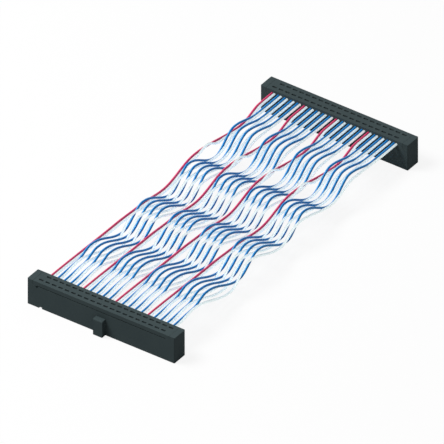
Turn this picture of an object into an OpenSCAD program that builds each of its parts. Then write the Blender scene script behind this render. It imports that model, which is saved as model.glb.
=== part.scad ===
/* [Cable] */
// Pairs in the cable, each of one coloured wire and one white wire
pairs = 20; // [5:5:20]
// Pairs in a colour group, the first of them red
group = 5; // [2:1:10]
// Distance from the middle of one pair to the next, the pin pitch of the sockets
pitch = 2.54; // [2.4:0.01:3]
// Diameter of a wire over its insulation
wire_d = 0.8; // [0.7:0.01:0.9]
// Room between the two wires of a pair
wire_gap = 0.05; // [0.03:0.01:0.1]
// Distance between the two sockets, which the rippling wires bridge
span = 124.8; // [120:0.1:180]

/* [Socket housing] */
// Solid end block beyond the last pair's pitch
end_block = 3.7; // [3.4:0.1:6]
// Depth of a socket, front to back
socket_d = 6; // [5.8:0.1:8]
// Height of the housing's wire table, which the wires and the cover lie on
table_h = 8.25; // [7.9:0.05:8.4]
// Distance between the two rows of pin holes
row_pitch = 2.54; // [2.4:0.01:2.7]
// Side of a pin hole
pin_hole = 0.9; // [0.8:0.05:1]
// Height of the floor below the contacts
floor_h = 1.2; // [1:0.1:1.6]
// Depth of the funnel at the mouth of a pin hole
lead_in = 0.4; // [0.2:0.05:0.6]
// Radius of the housing's upright edges
corner_r = 0.3; // [0.1:0.05:0.6]
// How far each end of a contact's bridge reaches over its ledge
ledge = 0.15; // [0.1:0.01:0.3]

/* [Key and marks] */
// Width of the polarising key
key_w = 3.6; // [3:0.1:5]
// How far the key stands out
key_out = 1.9; // [1:0.1:2.5]
// Height of the key
key_h = 6.3; // [4:0.1:7]
// Radius of the key's upper outer edge
key_r = 0.5; // [0.2:0.05:0.9]
// Width of the triangular mark for the first pin
mark_w = 1.4; // [0.8:0.1:1.8]
// Height of the mark, below the parting line
mark_h = 0.9; // [0.6:0.05:1.2]
// Depth of the mark
mark_depth = 0.3; // [0.1:0.05:0.5]
// Width of the notch in the lower edge
notch_w = 1.2; // [0.8:0.1:2]
// Height of the notch
notch_h = 0.55; // [0.3:0.05:0.8]
// Depth of the notch, front to back
notch_depth = 1; // [0.6:0.1:1.4]
// Distance from the end of the socket to the middle of the notch
notch_from_end = 5.2; // [4:0.1:8]

/* [Cover] */
// Height of the cover over the wire table
cover_h = 1.75; // [1.6:0.05:3]
// Wall at the front of the cover that the wires end at
wire_stop = 1; // [0.6:0.1:1.6]
// Length of a window over a contact
window_l = 1.7; // [1.5:0.1:1.9]
// Width of a window over a contact
window_w = 0.7; // [0.5:0.05:0.9]
// Stagger of the two rows of windows
stagger = 1.27; // [1.2:0.01:1.35]
// Room round a wire in the cover
wire_room = 0.03; // [0.01:0.01:0.05]
// Room between the cover and the housing's ends
cover_room = 0.06; // [0.04:0.01:0.1]
// Height and depth of the groove along the parting line
seam = 0.3; // [0.2:0.05:0.4]
// Distance from the last pair's pitch to a latch leg
leg_gap = 0.3; // [0.2:0.05:0.6]
// Room round a latch leg in its slot
leg_room = 0.1; // [0.05:0.01:0.15]
// Thickness of the cover's two latch legs
leg_t = 1.2; // [0.8:0.1:1.4]
// Width of the cover's two latch legs
leg_w = 2.6; // [2:0.1:3.6]
// Length of the latch legs below the wire table
leg_l = 4; // [3:0.1:5]
// How far the hook of a leg stands out
hook_out = 0.35; // [0.2:0.05:0.5]
// Height of the hook
hook_h = 0.9; // [0.6:0.1:1.2]
// Height of the hook's upright face
hook_face = 0.2; // [0.1:0.05:0.3]

/* [Contacts] */
// Thickness of the contact metal
metal = 0.25; // [0.2:0.01:0.3]
// Width of the slot between a fork's two tines, as wide as the core that it holds
fork_slot = 0.3; // [0.24:0.01:0.36]
// How far the fork stands above the middle of a wire
fork_rise = 0.75; // [0.6:0.05:0.85]
// Width of the two springs that hold a pin
spring_w = 1.1; // [0.8:0.1:1.2]
// Thickness of the header pin between the springs
pin = 0.64; // [0.6:0.01:0.7]
// Height of the ledge that carries a contact
ledge_h = 6; // [5.5:0.1:6.4]
// Room round a contact in its place
contact_room = 0.1; // [0.05:0.01:0.15]

/* [Hidden] */
// The places along a wire where it lies level: distance from the front
// socket, and height over the wire's exit. It bends smoothly between them.
blue_route = [
    [2, 0], [12, 0.4], [19.5, 2.6], [38, -3], [48.5, 2.5], [65, -3.7],
    [74, 2.7], [89.5, -3.5], [100, 2.4], [113, 0],
];
red_route = [
    [3, 0], [38, -0.6], [50, -1.1], [64, -2.5], [81, 1.2], [108, -2.4], [118, 0],
];
white_route = [
    [2, 0], [11, 1.2], [32, -4.2], [42, 2], [60, -3], [70, 0.9],
    [89, -2.6], [101, 0.6], [118, 0],
];
// The white wire beside a red one keeps to the red one's shape
white_by_red_route = [
    [3, 0], [38, -0.9], [50, -1.4], [64, -2.8], [80, 0.6], [87, 1.9],
    [94, -0.9], [109, -2.7], [118, 0],
];

function pair_x(k) = (k - (pairs - 1) / 2) * pitch;
function is_red(k) = k % group == 0;
function reds_to(k) = floor(k / group) + 1;
function two_digits(n) = n < 10 ? str("0", n) : str(n);
function coloured_name(k) = is_red(k)
    ? str("red_wire_", two_digits(reds_to(k)))
    : str("blue_wire_", two_digits(k + 1 - reds_to(k)));
function white_name(k) = str("white_wire_", two_digits(k + 1));

$fn = 48;
past = 0.5;
plastic_colour = [0.2, 0.24, 0.25];
contact_colour = [0.8, 0.72, 0.45];
blue_colour = [0.06, 0.28, 0.62];
red_colour = [0.75, 0.12, 0.25];
white_colour = [0.95, 0.95, 0.95];

row_l = pairs * pitch;
socket_l = row_l + 2 * end_block;
inner_y = span / 2;
socket_y = inner_y + socket_d / 2;
row_y = row_pitch / 2;
wire_r = wire_d / 2;
pair_gap = wire_d + wire_gap;
wire_z = table_h + wire_r;
wire_in = socket_d - wire_stop;
fork_w = wire_d;
spring_place = pin + 2 * (metal + contact_room);
bridge_l = max(pair_gap + fork_w, spring_place + 2 * ledge);
place_l = bridge_l + contact_room;
place_w = spring_w + 2 * contact_room;
leg_x = row_l / 2 + leg_gap + leg_t / 2;
leg_end = table_h - leg_l;
bed_l = 2 * (leg_x + leg_t / 2 + leg_room);
socket_h = table_h + cover_h;
wire_sides = 8;
bend_steps = 4;

// Box centred along X and Y that stands on the height z
module block(l, w, h, z = 0) translate([-l / 2, -w / 2, z]) cube([l, w, h]);

module each_pair() for (k = [0 : pairs - 1]) translate([pair_x(k), 0, 0]) children();

module both_ends() for (end = [0, 1]) mirror([end, 0, 0]) children();

// Shapes drawn in a plane across the socket's length, X across and Y up
module along_depth(depth) rotate([90, 0, 0]) linear_extrude(depth, center = true) children();

module rounded_plan(l, w, r) {
    square([l - 2 * r, w], center = true);
    square([l, w - 2 * r], center = true);
    for (x = [-1, 1], y = [-1, 1])
        translate([x * (l / 2 - r), y * (w / 2 - r)]) circle(r);
}

module mouth_wedge() {
    top = pin_hole / 2;
    foot = top + lead_in + past;
    polygon([[-foot, -past], [foot, -past], [top, lead_in], [-top, lead_in]]);
}

// Crossing wedges leave one square funnel under each pin hole
module pin_mouths() intersection() {
    each_pair() along_depth(socket_d) mouth_wedge();
    for (side = [-1, 1]) translate([0, side * row_y, 0])
        rotate([0, 0, 90]) along_depth(socket_l) mouth_wedge();
}

// Place of one contact, with a ledge part of the way up
module contact_place() {
    block(pin_hole, pin_hole, floor_h + past);
    block(spring_place, place_w, table_h, floor_h);
    block(place_l, place_w, table_h, ledge_h);
}

// Slot of one latch leg, with the pocket for its hook
module leg_slot() translate([leg_x, 0, leg_end - leg_room]) {
    block(leg_t + 2 * leg_room, leg_w + 2 * leg_room, leg_l + leg_room + past);
    translate([(hook_out + leg_room) / 2, 0, 0])
        block(leg_t + hook_out + leg_room, leg_w + 2 * leg_room, hook_h + 2 * leg_room);
}

// Side view of the key, the outer face to the left
module key_profile() {
    translate([-key_out, 0]) square([key_out + past, key_h - key_r]);
    translate([key_r - key_out, 0]) square([key_out + past - key_r, key_h]);
    translate([key_r - key_out, key_h - key_r]) circle(key_r);
}

// Drawn with the key to the front and the wires leaving at the back
module housing() color(plastic_colour) difference() {
    union() {
        linear_extrude(socket_h) rounded_plan(socket_l, socket_d, corner_r);
        translate([0, -socket_d / 2, 0]) rotate([90, 0, 90])
            linear_extrude(key_w, center = true) key_profile();
    }
    block(bed_l, socket_d + 2 * past, socket_h, table_h);
    for (side = [-1, 1]) translate([0, side * row_y, 0]) each_pair() contact_place();
    pin_mouths();
    both_ends() leg_slot();
    translate([-row_l / 2, -socket_d / 2, table_h]) along_depth(2 * mark_depth)
        polygon([[-mark_w / 2, 0], [0, -mark_h], [mark_w / 2, 0], [mark_w / 2, past], [-mark_w / 2, past]]);
    translate([notch_from_end - socket_l / 2, -socket_d / 2, 0])
        block(notch_w, 2 * notch_depth, notch_h + past, -past);
}

module wire_channels() each_pair() along_depth(wire_in + wire_room) {
    translate([-(pair_gap + wire_d) / 2 - wire_room, -past])
        square([pair_gap + wire_d + 2 * wire_room, wire_r + past]);
    for (side = [-1, 1]) translate([side * pair_gap / 2, wire_r]) circle(wire_r + wire_room);
}

module latch_leg() translate([leg_x, 0, leg_end]) {
    block(leg_t, leg_w, leg_l + cover_h / 2);
    translate([leg_t / 2, 0, 0]) along_depth(leg_w)
        polygon([[-past, 0], [0, 0], [hook_out, hook_h - hook_face], [hook_out, hook_h], [-past, hook_h]]);
}

// The cover lies on the wire table and closes the channels over the wires
module cover() color(plastic_colour) {
    difference() {
        block(bed_l - 2 * cover_room, socket_d, cover_h, table_h);
        translate([0, (socket_d - wire_in - wire_room) / 2, table_h]) wire_channels();
        for (side = [-1, 1]) translate([side * stagger / 2, side * row_y, 0])
            each_pair() block(window_l, window_w, cover_h + 2 * past, table_h - past);
        translate([0, -socket_d / 2, table_h]) block(row_l, 2 * seam, seam + past, -past);
    }
    both_ends() latch_leg();
}

// Fork with two tines, drawn over the middle of its wire
module fork() difference() {
    block(fork_w, metal, wire_z + fork_rise - ledge_h, ledge_h);
    block(fork_slot, 2 * metal, fork_rise + wire_r, wire_z - fork_slot / 2);
}

module contact(side) {
    translate([side * pair_gap / 2, 0, 0]) fork();
    block(bridge_l, spring_w, metal, ledge_h);
    for (s = [-1, 1]) translate([s * (pin + metal) / 2, 0, 0])
        block(metal, spring_w, ledge_h + metal - floor_h - contact_room, floor_h + contact_room);
}

module contacts() color(contact_colour)
    for (side = [-1, 1]) translate([0, side * row_y, 0]) each_pair() contact(side);

module front_socket() translate([0, -socket_y, 0]) children();
module rear_socket() translate([0, socket_y, 0]) rotate([0, 0, 180]) children();

// Points of a wire as [distance, height], from its end in the front socket
// to its end in the rear one
function bend(a, b) = [for (i = [0 : bend_steps - 1]) let (t = i / bend_steps)
    [a[0] + (b[0] - a[0]) * t, a[1] + (b[1] - a[1]) * (1 - cos(180 * t)) / 2]];
function wire_line(route) = concat(
    [[-wire_in, 0]],
    [for (i = [0 : len(route) - 2]) each bend(route[i], route[i + 1])],
    [[route[len(route) - 1][0], 0], [span + wire_in, 0]]
);
function slope(line, i) = let (
    before = line[max(i - 1, 0)],
    after = line[min(i + 1, len(line) - 1)]
) atan2(after[1] - before[1], after[0] - before[0]);
function ring(at, tilt) = [for (j = [0 : wire_sides - 1]) let (a = 360 * (j + 0.5) / wire_sides)
    [wire_r * cos(a), at[0] - wire_r * sin(a) * sin(tilt), at[1] + wire_r * sin(a) * cos(tilt)]];

module tube_along(line) {
    rings = len(line);
    points = [for (i = [0 : rings - 1]) each ring(line[i], slope(line, i))];
    sides = [for (i = [0 : rings - 2], j = [0 : wire_sides - 1])
        let (a = i * wire_sides + j, b = i * wire_sides + (j + 1) % wire_sides)
        [a, b, b + wire_sides, a + wire_sides]];
    first = [for (j = [wire_sides - 1 : -1 : 0]) j];
    last = [for (j = [0 : wire_sides - 1]) (rings - 1) * wire_sides + j];
    polyhedron(points, concat([first, last], sides));
}

// A wire lies in one upright plane, and each fork bites it down to the core
module wire(x, side, route) translate([x + side * pair_gap / 2, 0, 0]) difference() {
    translate([0, -inner_y, wire_z]) tube_along(wire_line(route));
    for (y = [-socket_y, socket_y]) translate([0, y + side * row_y, 0]) fork();
}

module coloured_wire(k)
    if (is_red(k)) color(red_colour) wire(pair_x(k), -1, red_route);
    else color(blue_colour) wire(pair_x(k), -1, blue_route);

module white_wire(k) color(white_colour)
    wire(pair_x(k), 1, is_red(k) ? white_by_red_route : white_route);

front_socket() housing();  // front_housing
front_socket() cover();  // front_cover
front_socket() contacts();  // front_contacts
rear_socket() housing();  // rear_housing
rear_socket() cover();  // rear_cover
rear_socket() contacts();  // rear_contacts
for (k = [0 : pairs - 1]) {
    coloured_wire(k);
    white_wire(k);
}
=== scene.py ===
"""A ribbon cable: wires in pairs, a coloured and a white one, rippling between two pin sockets."""

import math

import bpy
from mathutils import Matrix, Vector


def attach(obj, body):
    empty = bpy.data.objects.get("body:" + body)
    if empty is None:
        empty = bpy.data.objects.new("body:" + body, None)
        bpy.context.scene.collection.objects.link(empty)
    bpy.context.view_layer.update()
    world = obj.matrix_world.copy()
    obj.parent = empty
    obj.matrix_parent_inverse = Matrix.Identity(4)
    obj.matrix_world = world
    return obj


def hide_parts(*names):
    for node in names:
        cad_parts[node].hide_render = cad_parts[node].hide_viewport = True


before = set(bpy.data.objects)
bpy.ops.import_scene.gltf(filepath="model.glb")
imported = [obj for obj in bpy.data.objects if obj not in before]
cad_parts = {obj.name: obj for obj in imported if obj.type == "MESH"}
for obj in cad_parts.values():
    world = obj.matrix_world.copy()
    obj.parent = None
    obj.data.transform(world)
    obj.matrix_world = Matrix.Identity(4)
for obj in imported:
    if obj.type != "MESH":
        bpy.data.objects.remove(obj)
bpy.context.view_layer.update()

# Camera: a view with no perspective, from above and from the front socket's right
AZIMUTH = math.radians(35.2)
ELEVATION = math.radians(35.68)
VIEW_WIDTH = 0.1435
AIM = Vector((0.0144, -0.0209, 0.0224))

# Lights and ground
LAMP_D = 0.5
WORLD_STRENGTH = 0.25
FLOOR_HALF = 3.0
FLOOR_DROP = 0.0001
# The floor's shade where the camera looks, and where its light falls back on the cable
FLOOR_WHITE = 0.88
FLOOR_GREY = 0.4

# Cable
PAIRS = 20
GROUP = 5
PITCH = 0.00254
PAIR_GAP = 0.00085
WIRE_D = 0.0008
SPAN = 0.1248
WIRE_IN = 0.005
EXIT_Z = 0.00865
# How far a point's handles reach, as a share of the way to the next point
HANDLE_REACH = 0.35

# The places along a wire where it lies level: distance from the front
# socket, and height over the wire's exit
BLUE_ROUTE = [
    (0.002, 0), (0.012, 0.0004), (0.0195, 0.0026), (0.038, -0.003), (0.0485, 0.0025),
    (0.065, -0.0037), (0.074, 0.0027), (0.0895, -0.0035), (0.1, 0.0024), (0.113, 0),
]
RED_ROUTE = [
    (0.003, 0), (0.038, -0.0006), (0.05, -0.0011), (0.064, -0.0025), (0.081, 0.0012),
    (0.108, -0.0024), (0.118, 0),
]
WHITE_ROUTE = [
    (0.002, 0), (0.011, 0.0012), (0.032, -0.0042), (0.042, 0.002), (0.06, -0.003),
    (0.07, 0.0009), (0.089, -0.0026), (0.101, 0.0006), (0.118, 0),
]
# The white wire beside a red one keeps to the red one's shape
WHITE_BY_RED_ROUTE = [
    (0.003, 0), (0.038, -0.0009), (0.05, -0.0014), (0.064, -0.0028), (0.08, 0.0006),
    (0.087, 0.0019), (0.094, -0.0009), (0.109, -0.0027), (0.118, 0),
]


def make_camera():
    data = bpy.data.cameras.new("camera")
    data.type = "ORTHO"
    data.ortho_scale = VIEW_WIDTH
    data.clip_start, data.clip_end = 0.01, 10
    camera = bpy.data.objects.new("camera", data)
    camera.rotation_euler = (math.pi / 2 - ELEVATION, 0, AZIMUTH)
    back = Vector((math.sin(AZIMUTH) * math.cos(ELEVATION),
                   -math.cos(AZIMUTH) * math.cos(ELEVATION),
                   math.sin(ELEVATION)))
    camera.location = AIM + back
    bpy.context.scene.collection.objects.link(camera)
    bpy.context.scene.camera = camera


class Value:
    """A socket of a material, which Python's operators add Math nodes to."""

    def __init__(self, finish, socket):
        self.finish, self.socket = finish, socket

    def _math(self, operation, first, second):
        return self.finish.node("ShaderNodeMath", {"operation": operation}, {0: first, 1: second})

    def __add__(self, other):
        return self._math("ADD", self, other)

    def __radd__(self, other):
        return self._math("ADD", other, self)

    def __mul__(self, other):
        return self._math("MULTIPLY", self, other)

    def __rmul__(self, other):
        return self._math("MULTIPLY", other, self)


class Finish:
    """A material made of nodes, with one Principled shader."""

    def __init__(self, name, **constants):
        self.material = bpy.data.materials.new(name)
        self.material.use_nodes = True
        self.nodes = self.material.node_tree.nodes
        self.links = self.material.node_tree.links
        self.nodes.clear()
        self.shader = self.nodes.new("ShaderNodeBsdfPrincipled")
        self.output = self.nodes.new("ShaderNodeOutputMaterial")
        self.links.new(self.shader.outputs["BSDF"], self.output.inputs["Surface"])
        for socket, value in constants.items():
            self.shader.inputs[socket.replace("_", " ")].default_value = value

    def feed(self, socket, value):
        if isinstance(value, Value):
            self.links.new(value.socket, socket)
        else:
            socket.default_value = value

    def node(self, kind, settings=None, inputs=None, output=0):
        made = self.nodes.new(kind)
        for name, value in (settings or {}).items():
            setattr(made, name, value)
        for name, value in (inputs or {}).items():
            self.feed(made.inputs[name], value)
        return Value(self, made.outputs[output])

    def noise(self, scale, detail=3.0, roughness=0.5, stretch=None):
        where = self.node("ShaderNodeTexCoord", output="Object")
        if stretch:
            where = self.node("ShaderNodeMapping", {}, {"Vector": where, "Scale": stretch})
        return self.node("ShaderNodeTexNoise", {"noise_dimensions": "3D"},
                         {"Vector": where, "Scale": scale, "Detail": detail, "Roughness": roughness})

    def between(self, low, high, amount):
        """A colour that runs from low to high as amount runs from 0 to 1."""
        return self.node("ShaderNodeMix", {"data_type": "RGBA"},
                         {"Factor": amount, "A": (*low, 1), "B": (*high, 1)}, output="Result")

    def set(self, socket, value):
        self.feed(self.shader.inputs[socket], value)

    def bump(self, height, distance, strength):
        self.set("Normal", self.node("ShaderNodeBump", {},
                                     {"Height": height, "Distance": distance, "Strength": strength}))


def socket_plastic():
    finish = Finish("socket_plastic", Metallic=0.0, IOR=1.5, Specular_IOR_Level=0.02)
    cloud = finish.noise(180, detail=2)
    grain = finish.noise(9000, detail=2, roughness=0.6)
    finish.set("Base Color", finish.between((0.044, 0.062, 0.066), (0.054, 0.074, 0.077), cloud))
    finish.set("Roughness", 0.48 + 0.14 * grain)
    finish.bump(grain, 0.00002, 0.35)
    return finish.material


def contact_metal():
    finish = Finish("contact_metal", Metallic=1.0, IOR=1.5)
    rolled = finish.noise(2500, detail=3, stretch=(1, 1, 0.08))
    finish.set("Base Color", finish.between((0.60, 0.46, 0.22), (0.78, 0.66, 0.40), rolled))
    finish.set("Roughness", 0.26 + 0.18 * rolled)
    return finish.material


def insulation(name, deep, light, gleam=(1, 1, 1)):
    """Soft extruded wire cover: faint streaks along the wire and a soft gleam."""
    finish = Finish(name, Metallic=0.0, IOR=1.5, Specular_IOR_Level=0.55, Specular_Tint=(*gleam, 1))
    streak = finish.noise(900, detail=2, stretch=(1, 0.06, 1))
    speckle = finish.noise(6000, detail=2)
    finish.set("Base Color", finish.between(deep, light, streak))
    finish.set("Roughness", 0.34 + 0.12 * speckle)
    finish.bump(streak, 0.00002, 0.25)
    return finish.material


def wire_points(route):
    """Points from inside the front socket to inside the rear one, each with its slope."""
    start = -SPAN / 2
    points = [(start - WIRE_IN, 0, 0)]
    for (y0, z0), (y1, z1) in zip(route, route[1:]):
        points.append((start + y0, z0, 0))
        points.append((start + (y0 + y1) / 2, (z0 + z1) / 2, math.pi / 2 * (z1 - z0) / (y1 - y0)))
    points.append((start + route[-1][0], route[-1][1], 0))
    points.append((SPAN / 2 + WIRE_IN, 0, 0))
    return points


def make_wire(name, x, route, material):
    curve = bpy.data.curves.new(name, "CURVE")
    curve.dimensions = "3D"
    curve.bevel_depth = WIRE_D / 2
    curve.bevel_resolution = 4
    curve.resolution_u = 5
    curve.use_fill_caps = True
    curve.materials.append(material)
    points = wire_points(route)
    spline = curve.splines.new("BEZIER")
    spline.bezier_points.add(len(points) - 1)
    for i, (point, (y, z, slope)) in enumerate(zip(spline.bezier_points, points)):
        point.co = (x, y, EXIT_Z + z)
        before = points[max(i - 1, 0)][0]
        after = points[min(i + 1, len(points) - 1)][0]
        for side, reach in (("left", (before - y) * HANDLE_REACH), ("right", (after - y) * HANDLE_REACH)):
            setattr(point, f"handle_{side}_type", "FREE")
            setattr(point, f"handle_{side}", (x, y + reach, EXIT_Z + z + slope * reach))
    wire = bpy.data.objects.new(name, curve)
    bpy.context.scene.collection.objects.link(wire)
    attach(wire, "root")
    return wire


def make_wires():
    red = insulation("red_insulation", (0.61, 0.03, 0.12), (0.69, 0.05, 0.17), gleam=(1, 0.65, 0.8))
    blue = insulation("blue_insulation", (0.004, 0.16, 0.51), (0.009, 0.23, 0.63), gleam=(0.3, 1, 1))
    white = insulation("white_insulation", (0.80, 0.93, 0.95), (0.86, 0.95, 0.96))
    reds = blues = 0
    coloured, plain = [], []
    for k in range(PAIRS):
        x = (k - (PAIRS - 1) / 2) * PITCH
        if k % GROUP == 0:
            reds += 1
            node, route, beside, colour = f"red_wire_{reds:02d}", RED_ROUTE, WHITE_BY_RED_ROUTE, red
        else:
            blues += 1
            node, route, beside, colour = f"blue_wire_{blues:02d}", BLUE_ROUTE, WHITE_ROUTE, blue
        coloured.append(make_wire(f"{node}_cover", x - PAIR_GAP / 2, route, colour))
        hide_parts(node)
        node = f"white_wire_{k + 1:02d}"
        plain.append(make_wire(f"{node}_cover", x + PAIR_GAP / 2, beside, white))
        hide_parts(node)
    return coloured, plain


def dress_sockets():
    plastic, metal = socket_plastic(), contact_metal()
    dressed = []
    for end in ("front", "rear"):
        for part, material in (("housing", plastic), ("cover", plastic), ("contacts", metal)):
            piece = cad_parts[f"{end}_{part}"]
            dressed.append(piece)
            for slot in piece.material_slots:
                slot.material = material
    return dressed


def soft_lamp(name, place, watts, lit, shadows):
    """A soft disk lamp that aims at the middle of the cable and lights only the pieces in lit."""
    data = bpy.data.lights.new(name, "AREA")
    data.shape = "DISK"
    data.size = LAMP_D
    data.energy = watts
    data.use_shadow = shadows
    lamp = bpy.data.objects.new(name, data)
    lamp.location = place
    lamp.rotation_euler = (-Vector(place)).to_track_quat("-Z", "Y").to_euler()
    bpy.context.scene.collection.objects.link(lamp)
    pieces = bpy.data.collections.new(f"{name}_pieces")
    for piece in lit:
        pieces.objects.link(piece)
    lamp.light_linking.receiver_collection = pieces


def white_to_camera(finish, share):
    """Mixes white into the surface by share, for the camera, reflections and light let through."""
    path = finish.nodes.new("ShaderNodeLightPath")
    seen = Value(finish, path.outputs["Is Camera Ray"])
    seen = seen + Value(finish, path.outputs["Is Glossy Ray"])
    seen = seen + Value(finish, path.outputs["Is Transmission Ray"])
    glow = finish.node("ShaderNodeEmission", {}, {"Color": (1, 1, 1, 1), "Strength": 1.0})
    mix = finish.nodes.new("ShaderNodeMixShader")
    finish.feed(mix.inputs[0], seen * share)
    finish.links.new(finish.shader.outputs["BSDF"], mix.inputs[1])
    finish.links.new(glow.socket, mix.inputs[2])
    finish.links.new(mix.outputs[0], finish.output.inputs["Surface"])


def make_floor():
    mesh = bpy.data.meshes.new("floor")
    half = FLOOR_HALF
    mesh.from_pydata([(-half, -half, 0), (half, -half, 0), (half, half, 0), (-half, half, 0)],
                     [], [(0, 1, 2, 3)])
    floor = bpy.data.objects.new("floor", mesh)
    floor.location.z = -FLOOR_DROP
    bpy.context.scene.collection.objects.link(floor)
    paper = Finish("floor_paper", Roughness=1.0, Specular_IOR_Level=0.0)
    seen = paper.node("ShaderNodeLightPath", output="Is Camera Ray")
    paper.set("Base Color", paper.between([FLOOR_GREY] * 3, [FLOOR_WHITE] * 3, seen))
    white_to_camera(paper, FLOOR_WHITE)
    mesh.materials.append(paper.material)
    return floor


def make_world():
    """A soft even light that the camera, reflections and light let through see as white."""
    world = bpy.data.worlds.new("studio")
    world.use_nodes = True
    nodes, links = world.node_tree.nodes, world.node_tree.links
    nodes.clear()
    output = nodes.new("ShaderNodeOutputWorld")
    soft, white = nodes.new("ShaderNodeBackground"), nodes.new("ShaderNodeBackground")
    soft.inputs["Color"].default_value = (1, 1, 1, 1)
    soft.inputs["Strength"].default_value = WORLD_STRENGTH
    white.inputs["Color"].default_value = (1, 1, 1, 1)
    path, mix = nodes.new("ShaderNodeLightPath"), nodes.new("ShaderNodeMixShader")
    seen = path.outputs["Is Camera Ray"]
    for ray in ("Is Glossy Ray", "Is Transmission Ray"):
        either = nodes.new("ShaderNodeMath")
        either.operation = "MAXIMUM"
        links.new(seen, either.inputs[0])
        links.new(path.outputs[ray], either.inputs[1])
        seen = either.outputs[0]
    links.new(seen, mix.inputs[0])
    links.new(soft.outputs[0], mix.inputs[1])
    links.new(white.outputs[0], mix.inputs[2])
    links.new(mix.outputs[0], output.inputs["Surface"])
    bpy.context.scene.world = world


def light_object(coloured, plain, sockets, floor):
    """The sockets' lamp throws the shadow on the floor; those of the wires throw none."""
    soft_lamp("socket_lamp", (-0.45, -0.30, 0.85), 10.2, [*sockets, floor], shadows=True)
    soft_lamp("colour_lamp", (-0.70, -0.20, 0.68), 12.5, coloured, shadows=False)
    soft_lamp("white_left_lamp", (-0.36, -0.35, 0.85), 6.0, plain, shadows=False)
    soft_lamp("white_right_lamp", (0.95, -0.30, 0.05), 6.0, plain, shadows=False)


make_camera()
coloured_wires, white_wires = make_wires()
socket_pieces = dress_sockets()
make_world()
light_object(coloured_wires, white_wires, socket_pieces, make_floor())
bpy.context.scene.view_settings.view_transform = "Standard"
